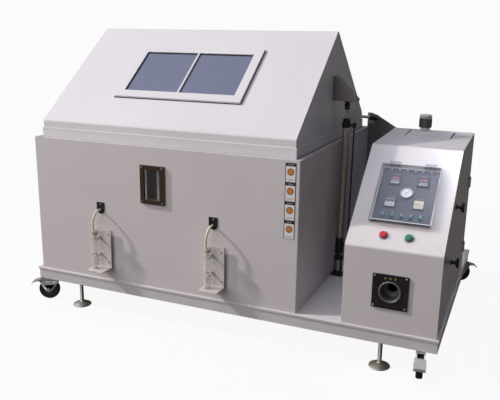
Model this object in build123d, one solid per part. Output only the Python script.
from build123d import *
import math
import os

# Corrosion test chamber with a gabled lid on a wheeled base, in millimetres.
# X runs to the right, Y to the back and Z up. The floor is Z 0.
# The origin is under the middle of the whole object's box.

# Base: a folded deck tray over a channel frame
base_width = 1900.0
base_depth = 1200.0
lip_height = 11.0
lip_overhang = 4.0
lip_round = 4.0
skirt_height = 47.0
sheet = 3.0
rail_height = 40.0
rail_width = 60.0
rail_sheet = 4.0
corner_pad = 150.0

# Casters
wheel_diameter = 100.0
wheel_width = 27.0
wheel_hub_diameter = 62.0
wheel_clearance = 2.0
caster_height = 127.0
caster_from_side = 69.0
caster_from_edge = 46.0
caster_trail = 38.0
caster_plate_length = 100.0
caster_plate_width = 76.0
caster_plate_sheet = 4.0
raceway_diameter = 58.0
raceway_height = 12.0
kingpin_diameter = 12.0
kingpin_nut_width = 20.0
kingpin_nut_height = 6.0
fork_sheet = 3.0
fork_play = 2.0
axle_diameter = 10.0
brake_width = 46.0
brake_length = 45.0
brake_sheet = 3.0
brake_pivot_back = 38.0
brake_pivot_up = 40.5
brake_pin_diameter = 6.0
brake_ear_diameter = 10.0
brake_toe_height = 7.5
brake_droop = 18.0
brake_travel = 28.0

# Levelling feet
foot_from_side = 225.0
foot_from_edge = 35.0
foot_stem_diameter = 16.0
foot_pad_diameter = 86.0
foot_pad_height = 24.0
foot_nut_width = 24.0
foot_nut_height = 9.0

# Chamber cabinet, its trough and its tank
cab_from_left = 24.0
cab_setback = 6.0
cab_width = 1300.0
cab_depth = 1130.0
cab_height = 638.0
cab_wall = 8.0
rim_width = 17.0
rim_sheet = 4.0
trough_depth = 38.0
tank_width = 1200.0
tank_depth = 1000.0
tank_height = 500.0
tank_wall = 5.0
tank_lip = 10.0
seal_width = 18.0
seal_height = 6.0

# Gabled lid
lid_side_inset = 31.5
lid_front_inset = 32.0
lid_back_inset = 38.0
lid_wall = 8.0
lid_bend_height = 77.0
lid_rise = 417.0
lid_bend_round = 14.0
band_height = 42.0
band_proud = 4.0
hinge_back = 16.0
hinge_height = 52.0
hinge_shaft_diameter = 16.0
lug_width = 12.0
lug_count = 4

# Lid window
window_width = 633.0
window_height = 348.0
window_up_slope = 348.0
window_border = 40.0
window_frame_height = 12.0
window_mullion = 9.0
pane_thickness = 5.0
pane_bearing = 12.0

# Air cylinder beside the chamber, and the lid bracket that it lifts
cylinder_from_cab = 31.0
cylinder_foot_back = 522.0
cylinder_foot_height = 85.0
cylinder_top_back = 542.0
gusset_reach = 110.0
gusset_height = 108.0
gusset_depth = 62.0
gusset_sheet = 4.0
gusset_above_cab = 188.0
stud_diameter = 34.0
stud_height = 6.0
rod_ball_diameter = 26.0
rod_nut_diameter = 24.0
rod_nut_height = 9.0
rod_diameter = 14.0
barrel_diameter = 35.0
barrel_wall = 1.5
barrel_start = 100.0
barrel_length = 520.0
low_cap_start = 24.0
cap_diameter = 39.0
top_cap_height = 26.0
neck_diameter = 31.0
neck_height = 15.0
piston_height = 24.0
eye_diameter = 28.0
eye_width = 20.0
foot_pin_diameter = 12.0
air_line_diameter = 8.0
air_line_offset = 38.0
elbow_size = 16.0

# Bearings of the hinge shaft and the screens that carry them
bearing_diameter = 30.0
bearing_length = 40.0
bearing_gap = 9.0
screen_top = 74.0
screen_width = 198.0
screen_right_drop = 95.0
screen_flange = 40.0

# Control cabinet
ctl_from_cab = 191.0
ctl_width = 374.0
ctl_depth = 880.0
ctl_front_height = 330.0
ctl_slope_back = 385.0
ctl_slope_top = 665.0
ctl_back_height = 676.0
ctl_wall = 3.0
ctl_round = 14.0
top_slot_length = 190.0
top_slot_width = 6.0

# Side door of the control cabinet
door_front = 250.0
door_back = 840.0
door_bottom = 60.0
door_top = 505.0
door_gap = 1.5
door_flange = 8.0
door_lip = 9.0
door_knuckle = 4.0
latch_back = 32.0
latch_low = 161.0
latch_high = 395.0
latch_stem_diameter = 13.0
latch_stem_length = 22.0
latch_wing_length = 42.0
latch_wing_width = 13.0
latch_wing_height = 10.0
latch_boss_diameter = 22.0
latch_cam_width = 16.0
latch_cam_reach = 41.0

# Instrument panel under its clear cover on the slope
cover_width = 241.0
cover_length = 284.0
cover_height = 26.0
cover_wall = 3.0
cover_centre = 189.0
cover_up_slope = 254.0
cover_lift = 1.0
cover_axis_out = 9.0
cover_axis_up = 5.0
panel_sheet = 2.0
panel_margin = 5.0
panel_opening_margin = 14.0
instrument_size = 48.0
instrument_bezel = 5.0
instrument_depth = 60.0
instrument_spread = 112.0
instrument_high = 327.0
instrument_low = 215.0
gauge_diameter = 52.0
gauge_height = 8.0
gauge_up_slope = 266.0
lamp_count = 6
lamp_pitch = 31.7
lamp_diameter = 8.0
lamp_height = 4.0
lamp_up_slope = 380.0
rocker_count = 5
rocker_pitch = 36.5
rocker_up_slope = 155.0
rocker_width = 12.0
rocker_length = 18.0
rocker_height = 9.0
rocker_tilt = 10.0
rocker_frame_border = 2.5
rocker_gap = 1.2
rocker_pivot_diameter = 3.0
button_up_slope = 60.0
button_spread = 97.0
button_diameter = 30.0
button_height = 13.0
button_travel = 4.0
button_ring_border = 3.0
button_ring_height = 4.0

# Round socket on the control cabinet's front
socket_plate = 139.0
socket_plate_thickness = 6.0
socket_centre_height = 162.0
socket_rim_diameter = 88.0
socket_bore_diameter = 74.0
socket_depth = 58.0
socket_hole_diameter = 38.0

# Filler on top of the control cabinet, and the tanks inside
filler_from_left = 149.0
filler_from_back = 40.0
filler_neck_diameter = 44.0
filler_neck_height = 16.0
filler_spigot_height = 30.0
filler_bore_diameter = 30.0
filler_cap_diameter = 60.0
filler_cap_height = 60.0
filler_cap_wall = 4.0
filler_cap_ribs = 24
supply_tank_depth = 150.0
supply_tank_height = 300.0
supply_tank_width = 300.0
supply_tank_wall = 5.0
saturator_diameter = 220.0
saturator_height = 420.0
saturator_back = 520.0

# Front fittings: level gauge, drain outlets, stands and measuring cylinders
gauge_glass_width = 120.0
gauge_glass_height = 172.0
gauge_glass_depth = 10.0
gauge_glass_centre = 632.0
gauge_glass_above_deck = 473.0
gauge_glass_border = 20.0
gauge_tube_diameter = 9.0
gauge_tube_spread = 61.0
outlet_centres = (354.0, 923.0)
outlet_height = 338.0
outlet_plate_width = 41.0
outlet_plate_height = 53.0
outlet_plate_thickness = 3.0
drain_pipe_diameter = 10.0
drain_pipe_bore = 7.0
drain_exit_height = 331.0
drain_spigot = 10.0
funnel_diameter = 100.0
funnel_wall = 3.0
funnel_back = 190.0
funnel_rim_height = 430.0
stand_width = 86.0
stand_plate = 5.0
stand_off = 12.0
stand_bottom = 60.0
stand_height = 182.0
stand_shelf_depth = 74.0
stand_right = 16.0
stand_clip_heights = (66.0, 143.0)
stand_clip_height = 6.0
stand_clip_wall = 2.5
beaker_diameter = 32.0
beaker_wall = 1.8
beaker_height = 176.0
beaker_play = 0.4
beaker_left = 2.0
beaker_seat_depth = 3.0

# Spray tower and specimen rack inside the tank
tower_diameter = 110.0
tower_wall = 4.0
tower_height = 330.0
tower_cone_diameter = 150.0
tower_cone_height = 70.0
tower_cone_gap = 45.0
rack_rail_height = 30.0
rack_rail_width = 16.0
rack_rail_drop = 90.0
rack_rod_diameter = 12.0
rack_rod_count = 8

# Running clearances
pin_play = 0.05
seat_gap = 0.3
hole_play = 0.3

# Places that follow from the sizes above
deck = wheel_clearance + caster_height + sheet + rail_height
skirt_bottom = deck - lip_height - skirt_height
base_left = -base_width / 2
base_right = base_width / 2
caster_reach = caster_trail + brake_pivot_back + brake_length
front_reach = stand_off + stand_plate + stand_shelf_depth - cab_setback
back_reach = caster_reach - caster_from_edge
base_front = -(base_depth + back_reach - front_reach) / 2
base_back = base_front + base_depth
cab_left = base_left + cab_from_left
cab_right = cab_left + cab_width
cab_front = base_front + cab_setback
cab_back = cab_front + cab_depth
cab_top = deck + cab_height
trough_floor = cab_top - trough_depth
tank_top = trough_floor + tank_lip
tank_floor = tank_top - tank_height
tank_left = (cab_left + cab_right - tank_width) / 2
tank_right = tank_left + tank_width
tank_front = (cab_front + cab_back - tank_depth) / 2
tank_back = tank_front + tank_depth
lid_left = cab_left + lid_side_inset
lid_right = cab_right - lid_side_inset
lid_front = cab_front + lid_front_inset
lid_back = cab_back - lid_back_inset
lid_bottom = trough_floor + seal_height + seat_gap
lid_bend = cab_top + lid_bend_height
lid_ridge_y = (lid_front + lid_back) / 2
lid_ridge = lid_bend + lid_rise
lid_slope = math.atan2(lid_rise, lid_ridge_y - lid_front)
hinge_y = lid_back + hinge_back
hinge_z = cab_top + hinge_height
ctl_left = cab_right + ctl_from_cab
ctl_right = ctl_left + ctl_width
ctl_front = cab_front
ctl_back = ctl_front + ctl_depth
ctl_bend = deck + ctl_front_height
ctl_slope = math.atan2(ctl_slope_top - ctl_front_height, ctl_slope_back)
top_slope = math.atan2(ctl_back_height - ctl_slope_top, ctl_depth - ctl_slope_back)
cylinder_x = cab_right + cylinder_from_cab


def box(x0, x1, y0, y1, z0, z1):
    """A box between two corners."""
    centre = Pos((x0 + x1) / 2, (y0 + y1) / 2, (z0 + z1) / 2)
    return centre * Box(x1 - x0, y1 - y0, z1 - z0)


def along_x(x0, x1, y, z, diameter):
    """A round bar that runs along X."""
    return Pos((x0 + x1) / 2, y, z) * Rot(0, 90, 0) * Cylinder(diameter / 2, x1 - x0)


def along_y(x, y0, y1, z, diameter):
    """A round bar that runs along Y."""
    return Pos(x, (y0 + y1) / 2, z) * Rot(90, 0, 0) * Cylinder(diameter / 2, y1 - y0)


def along_z(x, y, z0, z1, diameter):
    """A round bar that runs along Z."""
    return Pos(x, y, (z0 + z1) / 2) * Cylinder(diameter / 2, z1 - z0)


def hex_bar(x, y, z0, z1, across_flats):
    """A nut or bolt head that stands along Z."""
    outline = RegularPolygon(across_flats / 2, 6, major_radius=False)
    return Pos(x, y, z0) * extrude(outline, z1 - z0)


def prism_x(points, x0, x1):
    """A side view, given as (y, z) points, drawn out along X."""
    outline = Polyline(*[(x0, y, z) for y, z in points], close=True)
    return extrude(make_face(outline), x1 - x0, dir=(1, 0, 0))


def prism_y(points, y0, y1):
    """A front view, given as (x, z) points, drawn out along Y."""
    outline = Polyline(*[(x, y0, z) for x, z in points], close=True)
    return extrude(make_face(outline), y1 - y0, dir=(0, 1, 0))


def turned(points):
    """A round part from its half outline, given as (radius, height) points."""
    outline = Polyline(*[(r, 0, z) for r, z in points], close=True)
    return revolve(make_face(outline), Axis.Z)


def rounded_plate(width, length, thickness, corner):
    """A flat plate with round corners, with its back on the XY plane."""
    return extrude(RectangleRounded(width, length, corner), thickness)


def save(name, *pieces):
    """Write one sub-part, which may be a group of separate solids."""
    solids = [solid for piece in pieces for solid in piece.solids()]
    whole = solids[0] if len(solids) == 1 else Compound(children=solids)
    export_step(whole, "parts/" + name + ".step")


def slope_frame():
    """The control slope's own frame: X right, Y up the slope, Z out of it."""
    out = (0, -math.sin(ctl_slope), math.cos(ctl_slope))
    return Plane((ctl_left, ctl_front, ctl_bend), x_dir=(1, 0, 0), z_dir=out).location


def lid_frame():
    """The lid's front slope: X right, Y up the slope, Z out of it."""
    out = (0, -math.sin(lid_slope), math.cos(lid_slope))
    return Plane((lid_left, lid_front, lid_bend), x_dir=(1, 0, 0), z_dir=out).location


# Base


def base_deck():
    lip = box(base_left, base_right, base_front, base_back, deck - lip_height, deck)
    lip = fillet(lip.edges().group_by(Axis.Z)[-1], lip_round)
    inset = lip_overhang
    skirt = box(base_left + inset, base_right - inset, base_front + inset, base_back - inset,
                skirt_bottom, deck - lip_height)
    inset = lip_overhang + sheet
    hollow = box(base_left + inset, base_right - inset, base_front + inset, base_back - inset,
                 skirt_bottom, deck - sheet)
    return lip + skirt - hollow


def rail_outline(inset, z0, z1):
    return box(base_left + inset, base_right - inset, base_front + inset, base_back - inset, z0, z1)


def base_frame():
    """A ring of channel under the deck, with corner pads and two bearers."""
    outside = lip_overhang + sheet
    top = deck - sheet
    bottom = top - rail_height
    ring = rail_outline(outside, bottom, top)
    ring -= rail_outline(outside + rail_sheet, bottom + rail_sheet, top - rail_sheet)
    ring -= rail_outline(outside + rail_width, bottom, top)
    for side_x, side_y in corners():
        x = corner_x(side_x, outside + corner_pad / 2)
        y = corner_y(side_y, outside + corner_pad / 2)
        half = corner_pad / 2
        ring += box(x - half, x + half, y - half, y + half, bottom, bottom + rail_sheet)
    for x in (cab_left + cab_width / 3, ctl_left - rail_width):
        y0 = base_front + outside + rail_width
        y1 = base_back - outside - rail_width
        bearer = box(x - rail_width / 2, x + rail_width / 2, y0, y1, bottom, top)
        inner = rail_width / 2 - rail_sheet
        ring += bearer - box(x - inner, x + inner, y0, y1, bottom, top - rail_sheet)
    for side_x, side_y in corners():
        x, y = foot_place(side_x, side_y)
        ring -= along_z(x, y, bottom, bottom + rail_sheet, foot_stem_diameter + 2 * hole_play)
    return ring


def corners():
    """The four corners, by the sides of the object that they lie on."""
    return [(-1, -1), (1, -1), (-1, 1), (1, 1)]


def corner_names():
    return ["front_left", "front_right", "rear_left", "rear_right"]


def corner_x(side, inset):
    return side * (base_width / 2 - inset)


def corner_y(side, inset):
    return base_front + inset if side < 0 else base_back - inset


def foot_place(side_x, side_y):
    return corner_x(side_x, foot_from_side), corner_y(side_y, foot_from_edge)


def caster_place(side_x, side_y):
    return corner_x(side_x, caster_from_side), corner_y(side_y, caster_from_edge)


# Casters: each is modelled about its swivel axis, with the wheel trailing along +X

plate_top = wheel_clearance + caster_height
raceway_top = plate_top - caster_plate_sheet
crown_top = raceway_top - raceway_height - seat_gap
crown_bottom = crown_top - fork_sheet
kingpin_end = crown_bottom - seat_gap - kingpin_nut_height
axle_z = wheel_clearance + wheel_diameter / 2
fork_inner = wheel_width + 2 * fork_play
fork_outer = fork_inner + 2 * fork_sheet
brake_pivot_x = caster_trail + brake_pivot_back
brake_pivot_z = axle_z + brake_pivot_up
caster_headings = (203.0, 277.0, 97.0, 23.0)
caster_brake_down = (False, True, False, False)


def caster_fixing():
    """The bolted plate, its raceway, the kingpin with its nut, and four bolts."""
    plate = Pos(0, 0, raceway_top) * rounded_plate(
        caster_plate_length, caster_plate_width, caster_plate_sheet, 8)
    race = turned([(0, raceway_top), (0, raceway_top - raceway_height),
                   (raceway_diameter / 2 - 4, raceway_top - raceway_height),
                   (raceway_diameter / 2, raceway_top - raceway_height / 2),
                   (raceway_diameter / 2, raceway_top)])
    pin = along_z(0, 0, kingpin_end, raceway_top - raceway_height, kingpin_diameter)
    nut = hex_bar(0, 0, kingpin_end, kingpin_end + kingpin_nut_height, kingpin_nut_width)
    bolts = [hex_bar(side_x * (caster_plate_length / 2 - 13), side_y * (caster_plate_width / 2 - 13),
                     raceway_top - 5, raceway_top, 13) for side_x, side_y in corners()]
    return [plate + race + pin + nut] + bolts


def caster_fork():
    """A pressed fork: a crown over two tapering legs, and the axle bolt through them."""
    half = fork_outer / 2
    crown = Pos(0, 0, crown_bottom) * extrude(Circle(raceway_diameter / 2), fork_sheet)
    crown_back = -raceway_diameter / 3
    crown_front = brake_pivot_x - brake_ear_diameter * 2
    crown += box(crown_back, crown_front, -half, half, crown_bottom, crown_top)
    pivot_round = brake_ear_diameter / 2 + 1
    tip = axle_diameter
    outline = [(crown_back, crown_top), (crown_front, crown_top),
               (brake_pivot_x + pivot_round * 0.7, brake_pivot_z + pivot_round * 0.7),
               (brake_pivot_x + pivot_round * 0.7, brake_pivot_z - pivot_round * 0.7),
               (caster_trail + tip * 1.2, axle_z - tip), (caster_trail, axle_z - tip * 1.5),
               (caster_trail - tip * 1.2, axle_z - tip), (crown_back, crown_bottom - tip)]
    fork = crown
    for side in (-1, 1):
        y0, y1 = sorted((side * fork_inner / 2, side * half))
        leg = prism_y(outline, y0, y1)
        leg = fillet(leg.edges().filter_by(Axis.Y).group_by(Axis.Z)[0], tip * 0.6)
        fork += leg
    fork -= along_z(0, 0, crown_bottom, crown_top, kingpin_diameter + 2 * hole_play)
    fork -= along_y(caster_trail, -half, half, axle_z, axle_diameter)
    fork -= along_y(brake_pivot_x, -half, half, brake_pivot_z, brake_pin_diameter)
    axle = along_y(caster_trail, -half - 1, half + 1, axle_z, axle_diameter)
    head = Rot(90, 0, 0) * Pos(caster_trail, axle_z, half) * extrude(
        RegularPolygon(8.5, 6, major_radius=False), 6)
    tail = Rot(-90, 0, 0) * Pos(caster_trail, -axle_z, half) * extrude(
        RegularPolygon(8.5, 6, major_radius=False), 6)
    pin = along_y(brake_pivot_x, -half, half, brake_pivot_z, brake_pin_diameter)
    return [fork, axle + head + tail, pin]


def caster_wheel():
    """A solid tyre on a dished hub, turned about its axle."""
    tyre = wheel_diameter / 2
    hub = wheel_hub_diameter / 2
    half = wheel_width / 2
    dish = 5.0
    bore = axle_diameter / 2 + pin_play
    boss = axle_diameter
    outline = [(bore, -half), (boss, -half), (boss + 2, dish - half), (hub - 3, dish - half),
               (hub, -half + 1), (tyre - 5, -half), (tyre - 1, -half + 4), (tyre, -half + 9),
               (tyre, half - 9), (tyre - 1, half - 4), (tyre - 5, half), (hub, half - 1),
               (hub - 3, half - dish), (boss + 2, half - dish), (boss, half), (bore, half)]
    return Pos(caster_trail, 0, axle_z) * Rot(90, 0, 0) * turned(outline)


def caster_brake(droop):
    """A foot pedal on a pin between the fork's legs, drawn level and then let down."""
    width = fork_inner - 2 * seat_gap - 1
    ear = brake_ear_diameter / 2
    low = brake_toe_height
    high = low + brake_sheet
    back = -ear * 0.8
    toe = [(back, low), (back, high), (brake_length - 8, high), (brake_length, high - 6),
           (brake_length, low - 6), (brake_length - 9, low)]
    pedal = prism_y(toe, -brake_width / 2, brake_width / 2)
    pedal += along_y(0, -width / 2, width / 2, 0, brake_ear_diameter - 1)
    cheek = [(-ear * 0.8, low), (-ear * 0.9, 0), (ear * 0.9, 0), (brake_length * 0.6, low)]
    for side in (-1, 1):
        y0, y1 = sorted((side * width / 2, side * (width / 2 - brake_sheet)))
        pedal += prism_y(cheek, y0, y1) + along_y(0, y0, y1, 0, brake_ear_diameter)
    pedal -= along_y(0, -brake_width, brake_width, 0, brake_pin_diameter + 2 * pin_play)
    return Pos(brake_pivot_x, 0, brake_pivot_z) * Rot(0, droop, 0) * pedal


def placed(pieces, side_x, side_y, heading):
    """Swing a caster's pieces to its heading and stand them at its corner."""
    x, y = caster_place(side_x, side_y)
    return [Pos(x, y, 0) * Rot(0, 0, heading) * piece for piece in pieces]


# Levelling feet

foot_seat = deck - sheet - rail_height


def foot_nut(side_x, side_y):
    """The lock nut, run up against the rail, with a clearance round the stem."""
    x, y = foot_place(side_x, side_y)
    nut = hex_bar(x, y, foot_seat - foot_nut_height, foot_seat, foot_nut_width)
    return nut - along_z(x, y, foot_seat - foot_nut_height, foot_seat, foot_stem_diameter + 2 * hole_play)


def level_foot(side_x, side_y):
    """A domed pad with a collar, and the stem that screws into the rail."""
    x, y = foot_place(side_x, side_y)
    rim = foot_pad_diameter / 2
    neck = foot_stem_diameter / 2
    height = foot_pad_height
    pad = turned([(0, 0), (rim - 3, 0), (rim, 3), (rim - 1, 6), (rim * 0.72, height * 0.5),
                  (rim * 0.45, height * 0.68), (neck + 4, height * 0.78), (neck + 2, height),
                  (0, height)])
    stem = along_z(0, 0, height, foot_seat + rail_height * 0.6, foot_stem_diameter)
    return Pos(x, y, 0) * (pad + stem)


# Cabinet, tank and what they hold


def cabinet_shell():
    outer = box(cab_left, cab_right, cab_front, cab_back, deck, cab_top)
    outer = fillet(outer.edges().filter_by(Axis.Z), 4)
    inside = box(cab_left + cab_wall, cab_right - cab_wall, cab_front + cab_wall, cab_back - cab_wall,
                 deck + cab_wall, cab_top - rim_sheet)
    mouth = box(cab_left + rim_width, cab_right - rim_width, cab_front + rim_width, cab_back - rim_width,
                cab_top - rim_sheet, cab_top)
    shell = outer - inside - mouth
    for x in outlet_places():
        shell -= along_y(x, cab_front, cab_front + cab_wall, drain_z, drain_pipe_diameter)
    return shell


drain_z = deck + drain_exit_height


def outlet_places():
    return [cab_left + x for x in outlet_centres]


def inner_tank():
    """The tank, its water trough all round, and two bearers under it."""
    wall = tank_wall
    body = box(tank_left - wall, tank_right + wall, tank_front - wall, tank_back + wall,
               tank_floor - wall, tank_top)
    trough = box(cab_left + cab_wall, cab_right - cab_wall, cab_front + cab_wall, cab_back - cab_wall,
                 trough_floor - wall, trough_floor)
    tank = body + trough - box(tank_left, tank_right, tank_front, tank_back, tank_floor, tank_top)
    for x in outlet_places():
        tank -= along_y(x, tank_front - wall, tank_front, drain_z, drain_pipe_diameter)
    for share in (0.2, 0.8):
        x = tank_left + share * tank_width
        tank += box(x - rail_width / 2, x + rail_width / 2, tank_front, tank_back,
                    deck + cab_wall, tank_floor - wall)
    return tank


def trough_seal():
    """A flat rubber ring on the trough's floor, under the lid's skirt."""
    middle = lid_wall / 2 - seal_width / 2
    outer = box(lid_left + middle, lid_right - middle, lid_front + middle, lid_back - middle,
                trough_floor, trough_floor + seal_height)
    middle = lid_wall / 2 + seal_width / 2
    inner = box(lid_left + middle, lid_right - middle, lid_front + middle, lid_back - middle,
                trough_floor, trough_floor + seal_height)
    return outer - inner


def rack_rod_places():
    """Rods share the tank's width evenly and leave out the middle, where the tower stands."""
    pitch = tank_width / (rack_rod_count + 2)
    half = rack_rod_count // 2
    left = [tank_left + pitch * (i + 1) for i in range(half)]
    return left + [tank_right - pitch * (i + 1) for i in range(half)]


def specimen_rack():
    """Two notched rails on the tank's long walls, and round rods laid across them."""
    top = tank_top - rack_rail_drop
    rails = []
    for y0, y1 in ((tank_front, tank_front + rack_rail_width), (tank_back - rack_rail_width, tank_back)):
        rail = box(tank_left, tank_right, y0, y1, top - rack_rail_height, top)
        for x in rack_rod_places():
            half = rack_rod_diameter * 0.75
            rail -= prism_y([(x - half, top), (x, top - half), (x + half, top)], y0, y1)
        rails.append(rail)
    rod_z = top - rack_rod_diameter * 0.75 + rack_rod_diameter / 2 * math.sqrt(2)
    ends = (tank_front + hole_play, tank_back - hole_play)
    rods = [along_y(x, ends[0], ends[1], rod_z, rack_rod_diameter) for x in rack_rod_places()]
    return rails + rods


def spray_tower():
    """A tube on a foot ring with the spray cone held over it on three legs."""
    x = (tank_left + tank_right) / 2
    y = (tank_front + tank_back) / 2
    outer = tower_diameter / 2
    inner = outer - tower_wall
    foot = outer + 20
    tube = turned([(inner, 0), (foot, 0), (foot, 8), (outer, 8), (outer, tower_height),
                   (inner, tower_height)])
    cone_z = tower_height + tower_cone_gap
    rim = tower_cone_diameter / 2
    cone = turned([(0, cone_z + tower_cone_height), (rim, cone_z), (rim - 5, cone_z),
                   (0, cone_z + tower_cone_height - 6)])
    tower = tube + cone
    middle = (outer + inner) / 2
    for turn in (90, 210, 330):
        leg = Pos(middle, 0, tower_height - 1) * Box(tower_wall, 10, tower_cone_gap + 24,
                                                     align=(Align.CENTER, Align.CENTER, Align.MIN))
        tower += Rot(0, 0, turn) * leg
    nozzle = turned([(0, 8), (inner, 8), (inner, 40), (14, 60), (9, 110), (3, 130), (0, 130)])
    window = Pos(0, -outer, 90) * Box(60, tower_diameter, 60)
    return Pos(x, y, tank_floor) * (tower - window + nozzle)


def mist_collector(x):
    """A funnel in the tank, its drain pipe out through both walls, and the outlet plate."""
    y = tank_front + funnel_back
    rim = funnel_diameter / 2
    pipe = drain_pipe_diameter / 2
    top = deck + funnel_rim_height
    low = top - rim
    wall = funnel_wall
    cup = turned([(rim - wall, top), (rim, top), (rim, top - 20), (pipe, low - wall),
                  (pipe, drain_z), (drain_pipe_bore / 2, drain_z), (drain_pipe_bore / 2, low),
                  (rim - wall, top - 18)])
    run = along_y(x, cab_front - drain_spigot, y, drain_z, drain_pipe_diameter)
    bore = along_y(x, cab_front - drain_spigot, y, drain_z, drain_pipe_bore)
    body = Pos(x, y, 0) * cup + run + Pos(x, y, drain_z) * Sphere(pipe)
    return body - bore


def outlet_plate(x):
    """A small plate, square above and half round below, with the drain's hole."""
    half = outlet_plate_width / 2
    top = deck + outlet_height + outlet_plate_height / 2
    y1 = cab_front
    y0 = y1 - outlet_plate_thickness
    middle = top - outlet_plate_height + half
    plate = box(x - half, x + half, y0, y1, middle, top) + along_y(x, y0, y1, middle, outlet_plate_width)
    return plate - along_y(x, y0, y1, drain_z, drain_pipe_diameter)


def level_gauge():
    """A framed sight glass: a recessed back with two upright tubes and four screws."""
    x = cab_left + gauge_glass_centre
    z = deck + gauge_glass_above_deck
    frame_loc = Plane((x, cab_front, z), x_dir=(1, 0, 0), z_dir=(0, -1, 0)).location
    frame = rounded_plate(gauge_glass_width, gauge_glass_height, gauge_glass_depth, 4)
    recess = Pos(0, 0, 2) * rounded_plate(gauge_glass_width - 2 * gauge_glass_border,
                                          gauge_glass_height - 2 * gauge_glass_border, gauge_glass_depth, 3)
    frame -= recess
    tube_length = gauge_glass_height - 2 * gauge_glass_border
    tubes = []
    for side in (-1, 1):
        tube = Pos(side * gauge_tube_spread / 2, 0, 2 + gauge_tube_diameter / 2) * Rot(90, 0, 0) * Cylinder(
            gauge_tube_diameter / 2, tube_length)
        tubes.append(frame_loc * tube)
    screws = []
    for side_x, side_y in corners():
        place = Pos(side_x * (gauge_glass_width / 2 - 10), side_y * (gauge_glass_height / 2 - 10),
                    gauge_glass_depth)
        screws.append(frame_loc * place * Cylinder(4, 2, align=(Align.CENTER, Align.CENTER, Align.MIN)))
    return [frame_loc * frame] + tubes + screws


# Drain tubes: soft tubes from the outlets into the measuring cylinders


def beaker_axis(x):
    return x - beaker_left, cab_front - stand_off - stand_plate - stand_shelf_depth * 0.46


def drain_route(x):
    """The tube's points, from the outlet's spigot down into the measuring cylinder."""
    y = cab_front - drain_spigot
    z = drain_z
    return [(x, y, z), (x, y - 17, z), (x - 1, y - 32, z - 9), (x - 4, y - 41, z - 25),
            (x - 9, y - 43, z - 50), (x - 10, y - 42, z - 77), (x - 8, y - 41, z - 104),
            (x - 7, y - 41.5, z - 127)]


def drain_tube(x):
    points = [Vector(*p) for p in drain_route(x)]
    radii = []
    for before, here, after in zip(points, points[1:], points[2:]):
        turn = math.radians((here - before).get_angle(after - here))
        shorter = min((here - before).length, (after - here).length)
        radii.append(0.45 * shorter / math.tan(turn / 2))
    print("drain tube radii", [round(r, 1) for r in radii])
    path = FilletPolyline(*points, radius=radii)
    start = Plane(path @ 0, z_dir=path % 0)
    tube = sweep(start * Circle(drain_pipe_diameter / 2), path=path)
    return tube


def beaker_stand(x):
    """A clear angle stand: a back plate on two spacers, a shelf with a seat, and two clips."""
    axis_x, axis_y = beaker_axis(x)
    left = x + stand_right - stand_width / 2
    right = left + stand_width
    y1 = cab_front - stand_off
    y0 = y1 - stand_plate
    low = deck + stand_bottom
    top = low + stand_height
    stand = box(left, right, y0, y1, low, top)
    stand += box(left, right, y0 - stand_shelf_depth, y1, low, low + stand_plate)
    bore = beaker_diameter + 2 * beaker_play
    seat_z = low + stand_plate - beaker_seat_depth
    stand -= along_z(axis_x, axis_y, seat_z, low + stand_plate, bore)
    for height in stand_clip_heights:
        z0 = low + height
        z1 = z0 + stand_clip_height
        clip = along_z(axis_x, axis_y, z0, z1, bore + 2 * stand_clip_wall)
        clip += box(axis_x - 5, axis_x + 5, axis_y + beaker_diameter / 2, y0, z0, z1)
        clip -= along_z(axis_x, axis_y, z0, z1, bore)
        clip -= box(axis_x - bore / 3, axis_x + bore / 3, axis_y - bore, axis_y, z0, z1)
        stand += clip
    for z in (low + 20, top - 20):
        stand += along_y((left + right) / 2, y1, cab_front, z, 14)
    return stand


def beaker(x):
    """A measuring cylinder: a thin wall on a thick bottom, with a rolled rim."""
    axis_x, axis_y = beaker_axis(x)
    outer = beaker_diameter / 2
    inner = outer - beaker_wall
    z0 = deck + stand_bottom + stand_plate - beaker_seat_depth
    height = beaker_height
    glass = turned([(0, 0), (outer - 1, 0), (outer, 1), (outer, height - 4), (outer + 1.2, height - 2),
                    (outer, height), (inner, height), (inner, 5), (inner - 2, 3), (0, 3)])
    return Pos(axis_x, axis_y, z0) * glass


# Lid


def lid_outline(inset, bottom):
    """The gable's outline, moved in by a wall."""
    rise = inset / math.cos(lid_slope)
    shoulder = inset * math.tan(lid_slope)
    return [(lid_front + inset, bottom), (lid_front + inset, lid_bend - rise + shoulder),
            (lid_ridge_y, lid_ridge - rise),
            (lid_back - inset, lid_bend - rise + shoulder), (lid_back - inset, bottom)]


def lid_shell():
    outer = prism_x(lid_outline(0, lid_bottom), lid_left, lid_right)
    bends = outer.edges().filter_by(Axis.X).filter_by(lambda e: e.center().Z > lid_bottom + 1)
    outer = fillet(bends, lid_bend_round)
    band = box(lid_left - band_proud, lid_right + band_proud, lid_front - band_proud, lid_back + band_proud,
               lid_bottom, cab_top + band_height)
    inner = prism_x(lid_outline(lid_wall, lid_bottom), lid_left + lid_wall, lid_right - lid_wall)
    bearing = window_border + pane_bearing
    opening = Pos(lid_width / 2, window_up_slope, -lid_wall) * Box(
        window_width - 2 * bearing, window_height - 2 * bearing, lid_wall * 3)
    return outer + band - inner - lid_frame() * opening


lid_width = lid_right - lid_left


def window_frame():
    """A raised frame with a mullion, rebated underneath for the panes."""
    frame = rounded_plate(window_width, window_height, window_frame_height, 3)
    opening_w = window_width - 2 * window_border
    opening_h = window_height - 2 * window_border
    frame -= Pos(0, 0, window_frame_height / 2) * Box(opening_w, opening_h, window_frame_height + 2)
    rebate = pane_thickness + seat_gap
    bearing = 2 * pane_bearing + 2 * hole_play
    frame -= Pos(0, 0, rebate / 2) * Box(opening_w + bearing, opening_h + bearing, rebate)
    mullion = Pos(0, 0, (rebate + window_frame_height) / 2) * Box(
        window_mullion, opening_h, window_frame_height - rebate)
    return lid_frame() * Pos(lid_width / 2, window_up_slope, 0) * (frame + mullion)


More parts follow.
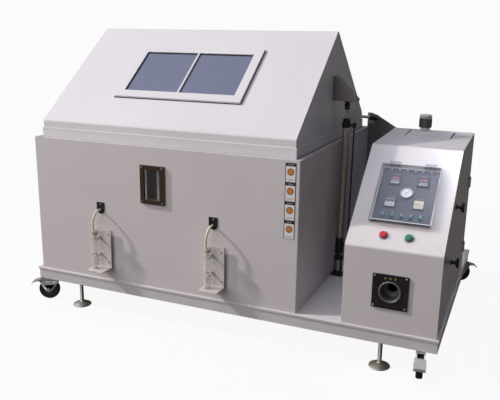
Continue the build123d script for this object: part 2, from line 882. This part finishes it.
def window_panes():
    """Two panes side by side under the frame."""
    height = window_height - 2 * window_border + 2 * pane_bearing
    width = (window_width - 2 * window_border) / 2 + pane_bearing - hole_play
    panes = []
    for side in (-1, 1):
        centre = Pos(lid_width / 2 + side * (width / 2 + hole_play), window_up_slope, pane_thickness / 2)
        panes.append(lid_frame() * centre * Box(width, height, pane_thickness))
    return panes


gusset_bottom = cab_top + gusset_above_cab
cylinder_top_y = cab_front + cylinder_top_back


def lid_gusset():
    """A closed sheet bracket on the gable, which the air cylinder lifts."""
    y0 = cylinder_top_y - gusset_depth / 2
    y1 = cylinder_top_y + gusset_depth / 2
    top = gusset_bottom + gusset_height
    outside = lid_right + gusset_reach
    body = prism_y([(lid_right, gusset_bottom), (outside, gusset_bottom), (outside, gusset_bottom + 10),
                    (lid_right + 8, top), (lid_right, top)], y0, y1)
    wall = gusset_sheet
    hollow = prism_y([(lid_right, gusset_bottom + wall), (outside - 3 * wall, gusset_bottom + wall),
                      (lid_right, top - 3 * wall)], y0 + wall, y1 - wall)
    stud = along_z(cylinder_x, cylinder_top_y, gusset_bottom - stud_height, gusset_bottom, stud_diameter)
    return body - hollow + stud


def hinge_lugs():
    """Lugs along the lid's back, bored for the shaft."""
    lugs = []
    radius = hinge_shaft_diameter * 0.9
    for i in range(lug_count):
        x = lid_left + lid_width * (i + 0.5) / lug_count
        x0 = x - lug_width / 2
        x1 = x + lug_width / 2
        lug = box(x0, x1, lid_back, hinge_y, hinge_z - radius * 0.6, hinge_z + radius)
        lug += along_x(x0, x1, hinge_y, hinge_z, 2 * radius)
        lug -= box(x0, x1, lid_back - radius, lid_back + band_proud, hinge_z - radius * 2,
                   cab_top + band_height)
        lugs.append(lug - along_x(x0, x1, hinge_y, hinge_z, hinge_shaft_diameter))
    return lugs


bearing_right = cab_right + bearing_gap
bearing_left = cab_left + bearing_length * 0.6 - bearing_length


def hinge_shaft():
    right_end = bearing_right + bearing_length + 2
    return along_x(bearing_left - 2, right_end, hinge_y, hinge_z, hinge_shaft_diameter)


def hinge_bearing(x0):
    """A pillow block that stands off the screen behind it."""
    x1 = x0 + bearing_length
    half = bearing_diameter * 0.4
    block = along_x(x0, x1, hinge_y, hinge_z, bearing_diameter)
    block += box(x0, x1, hinge_y, cab_back, hinge_z - half, hinge_z + half)
    return block - along_x(x0, x1, hinge_y, hinge_z, hinge_shaft_diameter + 2 * pin_play)


def rear_screens():
    """The right screen closes the gap behind the air cylinder; the left one is a short bracket."""
    top = cab_top + screen_top
    x0 = cab_right - cab_wall
    x1 = x0 + screen_width
    y1 = cab_back + sheet
    knee = bearing_right + bearing_length
    right = prism_y([(x0, deck), (x0, top), (x0 + 23, top), (knee, top - 14),
                     (x1, top - screen_right_drop), (x1, deck)], cab_back, y1)
    right += box(x1 - sheet, x1, cab_back - screen_flange, y1, deck, top - screen_right_drop)
    right += box(x0, x1, cab_back, y1 + 20, deck, deck + sheet)
    left_x0 = bearing_left
    left_x1 = cab_left + 60
    low = cab_top - 90
    left = prism_y([(left_x0, hinge_z - 30), (left_x0, top - 6), (left_x0 + 6, top),
                    (left_x0 + 40, top), (left_x1, cab_top - 10), (left_x1, low), (cab_left + 4, low)],
                   cab_back, y1)
    return [right, left]


# Air cylinder

cylinder_foot_y = cab_front + cylinder_foot_back
cylinder_foot_z = deck + cylinder_foot_height
rod_ball_z = gusset_bottom - stud_height - seat_gap - rod_ball_diameter / 2
cylinder_lean = math.atan2(cylinder_top_y - cylinder_foot_y, rod_ball_z - cylinder_foot_z)
cylinder_span = math.hypot(cylinder_top_y - cylinder_foot_y, rod_ball_z - cylinder_foot_z)


def cylinder_frame():
    """The air cylinder's own frame: Z from its foot pin to the ball at the rod's end."""
    lean = (0, math.sin(cylinder_lean), math.cos(cylinder_lean))
    return Plane((cylinder_x, cylinder_foot_y, cylinder_foot_z), x_dir=(1, 0, 0), z_dir=lean).location


def cylinder_foot():
    """A clevis on the deck, and its pin."""
    ear = (eye_width + 2 * seat_gap) / 2
    reach = eye_diameter / 2
    thick = 6.0
    x = cylinder_x
    y = cylinder_foot_y
    z = cylinder_foot_z
    clevis = box(x - 30, x + 30, y - 30, y + 30, deck, deck + thick)
    for side in (-1, 1):
        x0, x1 = sorted((x + side * ear, x + side * (ear + thick)))
        clevis += box(x0, x1, y - reach, y + reach, deck + thick, z) + along_x(x0, x1, y, z, eye_diameter)
    reach_x = ear + thick
    clevis -= along_x(x - reach_x, x + reach_x, y, z, foot_pin_diameter)
    pin = along_x(x - reach_x, x + reach_x, y, z, foot_pin_diameter)
    for side in (-1, 1):
        x0, x1 = sorted((x + side * reach_x, x + side * (reach_x + 4)))
        pin += along_x(x0, x1, y, z, foot_pin_diameter + 6)
    return [clevis, pin]


barrel_end = barrel_start + barrel_length
top_cap_end = barrel_end + top_cap_height
neck_end = top_cap_end + neck_height


def cylinder_barrel():
    """The rear eye and cap, the tube, and the front cap with its neck."""
    eye = Rot(0, 90, 0) * Cylinder(eye_diameter / 2, eye_width)
    eye += Pos(0, 0, low_cap_start / 2) * Box(eye_width, eye_diameter, low_cap_start)
    low = Pos(0, 0, low_cap_start) * extrude(Circle(cap_diameter / 2), barrel_start - low_cap_start)
    low += eye
    low -= Rot(0, 90, 0) * Cylinder(foot_pin_diameter / 2 + pin_play, eye_width)
    inner = barrel_diameter / 2 - barrel_wall
    tube = turned([(inner, barrel_start), (barrel_diameter / 2, barrel_start),
                   (barrel_diameter / 2, barrel_end), (inner, barrel_end)])
    bore = rod_diameter / 2 + pin_play
    top = turned([(bore, barrel_end), (cap_diameter / 2, barrel_end), (cap_diameter / 2, top_cap_end),
                  (neck_diameter / 2, top_cap_end), (neck_diameter / 2, neck_end), (bore, neck_end)])
    elbows = []
    for height, turn_down in ((barrel_end + top_cap_height / 2, True), (barrel_start - 30, False)):
        reach = air_line_offset
        arm = Pos(0, 0, height) * Rot(0, 90, 0) * Cylinder(
            elbow_size / 2 - 1, reach, align=(Align.CENTER, Align.CENTER, Align.MIN))
        arm -= Pos(0, 0, height) * Box(cap_diameter - 4, cap_diameter, cap_diameter)
        head = Pos(reach, 0, height) * Cylinder(elbow_size / 2, elbow_size * 1.5)
        core = Pos(reach, 0, height) * Cylinder(air_line_diameter / 2, elbow_size * 1.5)
        shift = -elbow_size * 0.75 if turn_down else elbow_size * 0.75
        core = Pos(0, 0, shift) * core
        elbows.append(arm + head - core)
    low += elbows[1]
    top += elbows[0]
    return [cylinder_frame() * piece for piece in (low, tube, top)]


def air_line():
    """The air line that runs straight from one elbow to the other."""
    z0 = barrel_start - 30
    z1 = barrel_end + top_cap_height / 2
    line = Pos(air_line_offset, 0, (z0 + z1) / 2) * Cylinder(air_line_diameter / 2, z1 - z0)
    return cylinder_frame() * line


def cylinder_rod():
    """The piston, the rod, its lock nut and the ball that pushes the lid's stud."""
    piston_bottom = barrel_start + 1
    piston_top = piston_bottom + piston_height
    piston_radius = barrel_diameter / 2 - barrel_wall - pin_play
    piston = Pos(0, 0, piston_bottom) * extrude(Circle(piston_radius), piston_height)
    nut_top = cylinder_span - rod_ball_diameter * 0.4
    nut_bottom = nut_top - rod_nut_height
    rod = Pos(0, 0, piston_top) * extrude(Circle(rod_diameter / 2), nut_bottom - piston_top)
    edge = rod_nut_diameter / 2
    end = turned([(0, nut_bottom), (edge - 1, nut_bottom), (edge, nut_bottom + 1), (edge, nut_top - 1),
                  (edge - 1, nut_top), (0, nut_top)])
    end += Pos(0, 0, cylinder_span) * Sphere(rod_ball_diameter / 2)
    return [cylinder_frame() * piece for piece in (piston, rod, end)]


# Control cabinet


def control_side(inset):
    """The side outline, moved in by a wall; the underside stays open."""
    slope_drop = inset / math.cos(ctl_slope)
    top_drop = inset / math.cos(top_slope)
    steep = math.tan(ctl_slope)
    flat = math.tan(top_slope)
    slope_start = ctl_bend - slope_drop
    top_start = deck + ctl_slope_top - ctl_slope_back * flat - top_drop
    knee = (top_start - slope_start) / (steep - flat)
    far = ctl_depth - inset
    return [(ctl_front + inset, deck), (ctl_front + inset, slope_start + inset * steep),
            (ctl_front + knee, slope_start + knee * steep),
            (ctl_front + far, top_start + far * flat), (ctl_front + far, deck)]


def door_opening(gap):
    return (ctl_front + door_front + gap, ctl_front + door_back - gap,
            deck + door_bottom + gap, deck + door_top - gap)


def control_shell():
    outer = prism_x(control_side(0), ctl_left, ctl_right)
    bends = outer.edges().filter_by(Axis.X).filter_by(lambda e: e.center().Z > deck + 1)
    outer = fillet(bends, ctl_round)
    inner = prism_x(control_side(ctl_wall), ctl_left + ctl_wall, ctl_right - ctl_wall)
    shell = outer - inner
    y0, y1, z0, z1 = door_opening(0)
    inner_face = ctl_right - ctl_wall
    shell += box(inner_face - door_lip, inner_face, y0 - sheet, y1 + sheet, z0 - sheet, z1 + sheet)
    shell -= box(inner_face - door_lip, ctl_right, y0, y1, z0, z1)
    place = slope_frame() * Pos(cover_centre, cover_up_slope, 0)
    margin = 2 * (cover_wall + panel_margin + panel_opening_margin)
    shell -= place * Box(cover_width - margin, cover_length - margin, ctl_wall * 4)
    for x in button_places():
        hole = Cylinder(button_diameter / 2 - 4, ctl_wall * 4)
        shell -= slope_frame() * Pos(x, button_up_slope, 0) * hole
    sx, sz = socket_place()
    shell -= along_y(sx, ctl_front, ctl_front + ctl_wall, sz, socket_bore_diameter + 4 + 2 * hole_play)
    for x in slot_places():
        y = ctl_back - filler_from_back - top_slot_length / 2
        shell -= box(x - top_slot_width / 2, x + top_slot_width / 2, y - top_slot_length / 2,
                     y + top_slot_length / 2, ctl_bend, ctl_bend + ctl_front_height + ctl_slope_top)
    fx, fy = filler_place()
    shell -= along_z(fx, fy, ctl_bend, deck + ctl_back_height + 5, filler_bore_diameter + 6)
    return shell


def slot_places():
    return [ctl_left + 86, ctl_left + 290]


def filler_place():
    return ctl_left + filler_from_left, ctl_back - filler_from_back


def top_at(y):
    """Height of the control cabinet's top at a place along Y."""
    return deck + ctl_slope_top + (y - ctl_front - ctl_slope_back) * math.tan(top_slope)


def socket_place():
    return ctl_left + ctl_width / 2, deck + socket_centre_height


def button_places():
    middle = ctl_width / 2
    return [middle - button_spread / 2, middle + button_spread / 2]


def instrument_places():
    left = cover_centre - instrument_spread / 2
    right = cover_centre + instrument_spread / 2
    return [(x, up) for up in (instrument_high, instrument_low) for x in (left, right)]


def rocker_places():
    first = cover_centre - (rocker_count - 1) / 2 * rocker_pitch
    return [first + i * rocker_pitch for i in range(rocker_count)]


def lamp_places():
    first = cover_centre - (lamp_count - 1) / 2 * lamp_pitch
    return [first + i * lamp_pitch for i in range(lamp_count)]


def rocker_hole():
    return rocker_width + 2 * rocker_gap, rocker_length + 2 * rocker_gap


def panel_plate():
    """The instrument plate, cut for its instruments and rocker switches."""
    inset = 2 * (cover_wall + panel_margin)
    plate = slope_frame() * Pos(cover_centre, cover_up_slope, 0) * rounded_plate(
        cover_width - inset, cover_length - inset, panel_sheet, 4)
    for x, up in instrument_places():
        hole = Box(instrument_size - 4, instrument_size - 4, panel_sheet * 4)
        plate -= slope_frame() * Pos(x, up, 0) * hole
    width, length = rocker_hole()
    for x in rocker_places():
        plate -= slope_frame() * Pos(x, rocker_up_slope, 0) * Box(width, length, panel_sheet * 4)
    hole = Cylinder(gauge_diameter / 2 - 4, panel_sheet * 4)
    plate -= slope_frame() * Pos(cover_centre, gauge_up_slope, 0) * hole
    return plate


def panel_instruments():
    """Instruments, gauge, pilot lamps, switch frames, button rings and the cover's hinge pins."""
    pieces = []
    face = slope_frame()
    up_from = (Align.CENTER, Align.CENTER, Align.MIN)
    down_from = (Align.CENTER, Align.CENTER, Align.MAX)
    for x, up in instrument_places():
        bezel = rounded_plate(instrument_size, instrument_size, instrument_bezel, 3)
        window = rounded_plate(instrument_size - 10, instrument_size - 10, 3, 2)
        bezel -= Pos(0, 0, instrument_bezel - 2) * window
        case = Box(instrument_size - 5, instrument_size - 5, instrument_depth, align=down_from)
        pieces.append(face * Pos(x, up, panel_sheet) * (bezel + case))
    radius = gauge_diameter / 2
    gauge = turned([(0, -30), (radius - 5, -30), (radius - 5, 0), (radius, 0), (radius, gauge_height),
                    (radius - 3, gauge_height), (radius - 3, gauge_height - 4), (0, gauge_height - 4)])
    pieces.append(face * Pos(cover_centre, gauge_up_slope, panel_sheet) * gauge)
    for x in lamp_places():
        lamp = Cylinder(lamp_diameter / 2, lamp_height, align=up_from)
        pieces.append(face * Pos(x, lamp_up_slope, panel_sheet) * lamp)
    width, length = rocker_hole()
    for x in rocker_places():
        frame = Box(width + 2 * rocker_frame_border, length + 2 * rocker_frame_border, 2, align=up_from)
        frame -= Box(width, length, 8)
        pieces.append(face * Pos(x, rocker_up_slope, panel_sheet) * frame)
    for x in button_places():
        outer = button_diameter / 2 + button_ring_border
        hole = button_diameter / 2 + hole_play
        inner = button_diameter / 2 - 5
        top = button_ring_height
        ring = turned([(inner - 3, -25), (inner, -25), (inner, 0), (outer, 0), (outer, top - 1),
                       (outer - 1, top), (hole, top), (hole, 1), (inner - 3, 1)])
        pieces.append(face * Pos(x, button_up_slope, 0) * ring)
    for x in cover_hinge_places():
        axis = Pos(x, cover_hinge_up, cover_axis_out)
        pin = Rot(0, 90, 0) * Cylinder(2, 46)
        pin_posts = pin
        for side in (-1, 1):
            post = Pos(side * 20, 0, -cover_axis_out / 2) * Box(6, 8, cover_axis_out)
            pin_posts += post + Pos(side * 20, 0, 0) * Rot(0, 90, 0) * Cylinder(4, 6)
        leaf = Pos(0, 12, 1 - cover_axis_out) * Box(46, 24, 2)
        pieces.append(face * axis * (pin_posts + leaf))
    return pieces


cover_hinge_up = cover_up_slope + cover_length / 2 + cover_axis_up


def cover_hinge_places():
    return [cover_centre - cover_width * 0.3, cover_centre + cover_width * 0.3]


def panel_cover():
    """A clear box cover, open underneath, with two hinge knuckles at its top edge."""
    place = Pos(cover_centre, cover_up_slope, cover_lift)
    outer = rounded_plate(cover_width, cover_length, cover_height - cover_lift, 5)
    outer = fillet(outer.faces().sort_by(Axis.Z)[-1].edges(), 2)
    inner = Box(cover_width - 2 * cover_wall, cover_length - 2 * cover_wall,
                2 * (cover_height - cover_lift - cover_wall))
    cover = place * (outer - inner)
    for x in cover_hinge_places():
        knuckle = Pos(x, cover_hinge_up, cover_axis_out) * Rot(0, 90, 0) * Cylinder(4, 32)
        knuckle += Pos(x, cover_hinge_up - 2, cover_axis_out + 5) * Box(32, 4 + 2, 6)
        cover += knuckle - Pos(x, cover_hinge_up - cover_axis_up - 20, cover_axis_out) * Box(60, 40, 60)
        cover -= Pos(x, cover_hinge_up, cover_axis_out) * Rot(0, 90, 0) * Cylinder(2 + pin_play, 40)
    return slope_frame() * cover


def rocker(x):
    """A rocker key on its pivots, dished on top, resting tipped to its off side."""
    half_l = rocker_length / 2
    high = rocker_height / 2
    outline = Polyline((0, -half_l, -high), (0, half_l, -high), (0, half_l, high),
                       (0, 0, high - 1.2), (0, -half_l, high), close=True)
    key = extrude(make_face(outline), rocker_width / 2, dir=(1, 0, 0), both=True)
    reach = rocker_width / 2 + rocker_gap - seat_gap
    key += along_x(-reach, reach, 0, 0, rocker_pivot_diameter)
    place = Pos(x, rocker_up_slope, panel_sheet + 1)
    return slope_frame() * place * Rot(-rocker_tilt, 0, 0) * key


def push_button(x):
    """A mushroomed cap on a plunger."""
    radius = button_diameter / 2
    base = button_travel + 1.5
    top = button_height
    cap = turned([(0, base), (radius, base), (radius, top - 4), (radius - 1.5, top - 1.5),
                  (radius - 5, top), (0, top)])
    plunger = Pos(0, 0, -18) * extrude(Circle(radius - 8 - hole_play), base + 18)
    return slope_frame() * Pos(x, button_up_slope, 0) * (cap + plunger)


def front_socket():
    """A square plate with a deep round socket, stepped to a smaller hole."""
    x, z = socket_place()
    place = Plane((x, ctl_front, z), x_dir=(1, 0, 0), z_dir=(0, -1, 0)).location
    plate = rounded_plate(socket_plate, socket_plate, socket_plate_thickness, 3)
    rim = socket_rim_diameter / 2
    bore = socket_bore_diameter / 2
    hole = socket_hole_diameter / 2
    deep = -socket_depth
    thick = socket_plate_thickness
    cup = turned([(rim, thick), (rim - 2, thick + 4), (bore + 2, thick + 4), (bore, thick + 2),
                  (bore - 4, deep + 18), (hole, deep + 8), (hole, deep), (bore + 2, deep),
                  (bore + 2, 0), (rim, 0)])
    return place * (plate - Cylinder(rim - 2, 4 * thick) + cup)


def filler_frame():
    """The filler's own frame: it stands square on the slightly sloping top."""
    x, y = filler_place()
    square_to_top = (0, -math.sin(top_slope), math.cos(top_slope))
    return Plane((x, y, top_at(y)), x_dir=(1, 0, 0), z_dir=square_to_top).location


def filler_neck():
    """The neck on the cabinet's top: a collar and a threaded spigot."""
    outer = filler_neck_diameter / 2
    inner = filler_bore_diameter / 2
    spigot = outer - filler_cap_wall
    high = filler_neck_height + filler_spigot_height
    neck = turned([(inner, 0), (outer, 0), (outer, filler_neck_height), (spigot, filler_neck_height),
                   (spigot, high), (inner, high)])
    return filler_frame() * neck


def filler_cap():
    """A deep screw cap with grip ribs round its skirt."""
    outer = filler_cap_diameter / 2
    inner = filler_neck_diameter / 2
    height = filler_cap_height
    cap = turned([(inner, 0), (outer - 1.5, 0), (outer - 1.5, height * 0.7), (outer - 3, height * 0.7 + 1),
                  (outer - 1, height * 0.7 + 3), (outer - 1, height - 3), (outer - 4, height), (0, height),
                  (0, filler_spigot_height + 4), (inner, filler_spigot_height + 4)])
    for i in range(filler_cap_ribs):
        rib = Pos(outer - 1.5, 0, height * 0.35) * Box(3, 3, height * 0.62)
        cap += Rot(0, 0, 360 * i / filler_cap_ribs) * rib
    return filler_frame() * Pos(0, 0, filler_neck_height + seat_gap) * cap


def supply_tank():
    """The salt solution tank, with the pipe that rises to the filler."""
    x, y = filler_place()
    half = supply_tank_width / 2
    middle = ctl_left + ctl_width / 2
    y1 = ctl_back - ctl_wall - 10
    y0 = y1 - supply_tank_depth
    top = deck + supply_tank_height
    wall = supply_tank_wall
    tank = box(middle - half, middle + half, y0, y1, deck, top)
    tank = fillet(tank.edges().filter_by(Axis.Z), 15)
    tank -= box(middle - half + wall, middle + half - wall, y0 + wall, y1 - wall, deck + wall, top - wall)
    pipe = along_z(x, y, top - wall, top_at(y) - 1, filler_bore_diameter + 4)
    return tank + pipe - along_z(x, y, top - wall, top_at(y), filler_bore_diameter)


def saturator():
    """The sealed vessel that warms and wets the air: a drum with domed ends on a foot ring."""
    radius = saturator_diameter / 2
    height = saturator_height
    drum = turned([(0, 0), (radius - 20, 0), (radius - 20, 12), (radius, 40), (radius, height - 50),
                   (radius * 0.8, height - 15), (25, height), (25, height + 20), (0, height + 20)])
    return Pos(ctl_left + ctl_width / 2, ctl_front + saturator_back, deck) * drum


def side_door():
    """The service door, folded inwards all round, with hinge knuckles at its back edge."""
    y0, y1, z0, z1 = door_opening(door_gap)
    door = box(ctl_right - ctl_wall - door_flange, ctl_right, y0, y1, z0, z1)
    wall = ctl_wall
    door -= box(ctl_right - ctl_wall - door_flange, ctl_right - wall, y0 + 2, y1 - 2, z0 + 2, z1 - 2)
    for z in door_hinge_places():
        door += along_z(door_axis_x, door_axis_y, z, z + 24, 2 * door_knuckle) - box(
            ctl_left, ctl_right, y0, y1 + 40, z, z + 24)
        door += box(ctl_right, door_axis_x, door_axis_y - 20, door_axis_y, z, z + 24) - along_z(
            door_axis_x, door_axis_y, z, z + 24, 2 * door_knuckle)
        door -= along_z(door_axis_x, door_axis_y, z, z + 24, door_knuckle + 2 * pin_play)
    for z in latch_places():
        door -= along_x(ctl_right - wall, ctl_right, latch_y, z, latch_stem_diameter + 2 * pin_play)
    return door


door_axis_x = ctl_right + door_knuckle
door_axis_y = ctl_front + door_back
latch_y = ctl_front + door_front + latch_back


def door_hinge_places():
    return [deck + door_bottom + 50, deck + door_top - 74]


def latch_places():
    return [deck + door_bottom + latch_low, deck + door_bottom + latch_high]


def door_hinges():
    """The fixed leaves and pins of the door's two hinges."""
    hinges = []
    for z in door_hinge_places():
        pin = along_z(door_axis_x, door_axis_y, z - 13, z + 37, door_knuckle)
        for low in (z - 13, z + 24 + seat_gap):
            high = low + 13 - seat_gap
            pin += along_z(door_axis_x, door_axis_y, low, high, 2 * door_knuckle)
            pin += box(ctl_right, door_axis_x, door_axis_y, door_axis_y + 20, low, high)
        leaf_start = door_axis_y + door_knuckle + 2
        pin += box(ctl_right, ctl_right + 2, leaf_start, door_axis_y + 20, z - 13, z + 37)
        hinges.append(pin)
    return hinges


def door_latch(z):
    """A quarter-turn latch: a wing handle on a stem, with a cam that swings behind the return lip."""
    outer = ctl_right + latch_stem_length
    cam_face = ctl_right - ctl_wall - door_lip - seat_gap
    stem = along_x(cam_face - sheet, outer, latch_y, z, latch_stem_diameter)
    wing = rounded_plate(latch_wing_width, latch_wing_length, latch_wing_height, latch_wing_width * 0.45)
    wing = fillet(wing.faces().sort_by(Axis.Z)[-1].edges(), 2.5)
    head = Plane((outer, latch_y, z), x_dir=(0, 1, 0), z_dir=(1, 0, 0)).location * wing
    head += along_x(outer - 6, outer + latch_wing_height - 4, latch_y, z, latch_boss_diameter)
    collar = along_x(ctl_right + seat_gap, ctl_right + 5, latch_y, z, latch_stem_diameter + 8)
    half = latch_cam_width / 2
    cam = box(cam_face - sheet, cam_face, latch_y - half, latch_y + half, z - latch_cam_reach, z)
    cam += along_x(cam_face - sheet, cam_face, latch_y, z, latch_cam_width)
    return stem + head + collar + cam


def build_all():
    os.makedirs("parts", exist_ok=True)
    save("base_deck", base_deck())
    save("base_frame", base_frame())
    fixings = []
    for side_x, side_y in corners():
        fixings += placed(caster_fixing(), side_x, side_y, 0)
        fixings.append(foot_nut(side_x, side_y))
    save("caster_plates", *fixings)
    for name, (side_x, side_y), heading, down in zip(
            corner_names(), corners(), caster_headings, caster_brake_down):
        droop = brake_droop + brake_travel if down else brake_droop
        save("caster_fork_" + name, *placed(caster_fork(), side_x, side_y, heading))
        save("caster_wheel_" + name, *placed([caster_wheel()], side_x, side_y, heading))
        save("caster_brake_" + name, *placed([caster_brake(droop)], side_x, side_y, heading))
        save("level_foot_" + name, level_foot(side_x, side_y))
    save("cabinet_shell", cabinet_shell())
    save("inner_tank", inner_tank())
    save("trough_seal", trough_seal())
    save("specimen_rack", *specimen_rack())
    save("spray_tower", spray_tower())
    collectors = []
    for x in outlet_places():
        collectors += [mist_collector(x), outlet_plate(x)]
    save("mist_collectors", *collectors)
    save("level_gauge", *level_gauge())
    for side, x in zip(("left", "right"), outlet_places()):
        save("drain_tube_" + side, drain_tube(x))
        save("measuring_cylinder_" + side, beaker(x))
    save("beaker_stands", *[beaker_stand(x) for x in outlet_places()])
    save("lid_shell", lid_shell())
    save("window_frame", window_frame())
    save("window_panes", *window_panes())
    save("lid_brackets", lid_gusset(), *hinge_lugs())
    save("hinge_shaft", hinge_shaft())
    save("hinge_bearings", hinge_bearing(bearing_left), hinge_bearing(bearing_right))
    save("rear_screens", *rear_screens())
    save("cylinder_foot", *cylinder_foot())
    save("cylinder_barrel", *cylinder_barrel())
    save("air_line", air_line())
    save("cylinder_rod", *cylinder_rod())
    save("control_shell", control_shell())
    save("panel_plate", panel_plate())
    save("panel_instruments", *panel_instruments())
    save("panel_cover", panel_cover())
    for i, x in enumerate(rocker_places()):
        save("rocker_switch_" + str(i + 1), rocker(x))
    for name, x in zip(("stop_button", "start_button"), button_places()):
        save(name, push_button(x))
    save("front_socket", front_socket(), filler_neck())
    save("filler_cap", filler_cap())
    save("process_tanks", supply_tank(), saturator())
    save("side_door", side_door())
    save("door_hinges", *door_hinges())
    for name, z in zip(("low", "high"), latch_places()):
        save("door_latch_" + name, door_latch(z))


build_all()
